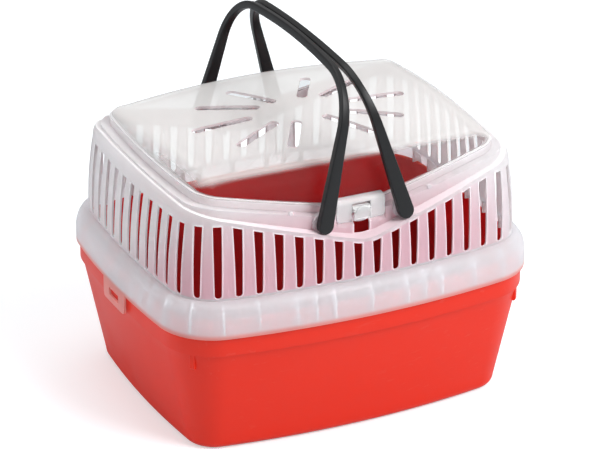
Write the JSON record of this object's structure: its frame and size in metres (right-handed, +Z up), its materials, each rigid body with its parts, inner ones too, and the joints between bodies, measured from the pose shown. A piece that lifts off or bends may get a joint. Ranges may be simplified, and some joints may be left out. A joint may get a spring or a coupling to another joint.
{
  "type": "small pet carrier",
  "caption": "Portable carrier for a small pet: flared tub, slotted lift-off cover, domed hinged lid with latch tab, and paired bail handles.",
  "frame": {"origin": "middle of the overall box at the floor", "axes": "+X along the length, -Y towards the latch side, +Z up"},
  "size_m": [0.3, 0.2482, 0.2782],
  "materials": {
    "tub_plastic": "satin moulded",
    "cover_plastic": "frosted translucent",
    "lid_plastic": "clear moulded",
    "latch_plastic": "clear moulded",
    "handle_plastic": "satin"
  },
  "bodies": {
    "tub": {"tub": "tub_plastic"},
    "cover": {"cover": "cover_plastic"},
    "lid": {"lid": "lid_plastic"},
    "latch": {"latch": "latch_plastic"},
    "handle_left": {"handle_left": "handle_plastic"},
    "handle_right": {"handle_right": "handle_plastic"}
  },
  "joints": [
    {"name": "cover_lift", "type": "slide", "parent": "tub", "child": "cover", "axis": [0, 0, 1], "range_m": [0, 0.04]},
    {"name": "lid_hinge", "type": "hinge", "parent": "cover", "child": "lid", "pos_m": [0, 0.1041, 0.176], "axis": [-1, 0, 0], "range_deg": [0, 15]},
    {"name": "latch_pivot", "type": "hinge", "parent": "lid", "child": "latch", "pos_m": [0, -0.1006, 0.1751], "axis": [-1, 0, 0], "range_deg": [0, 30]},
    {"name": "handle_left_pivot", "type": "hinge", "parent": "cover", "child": "handle_left", "pos_m": [-0.0319, 0, 0.1707], "axis": [0, -1, 0], "range_deg": [0, 79]},
    {"name": "handle_right_pivot", "type": "hinge", "parent": "cover", "child": "handle_right", "pos_m": [0.0319, 0, 0.1707], "axis": [0, 1, 0], "range_deg": [0, 79]}
  ]
}
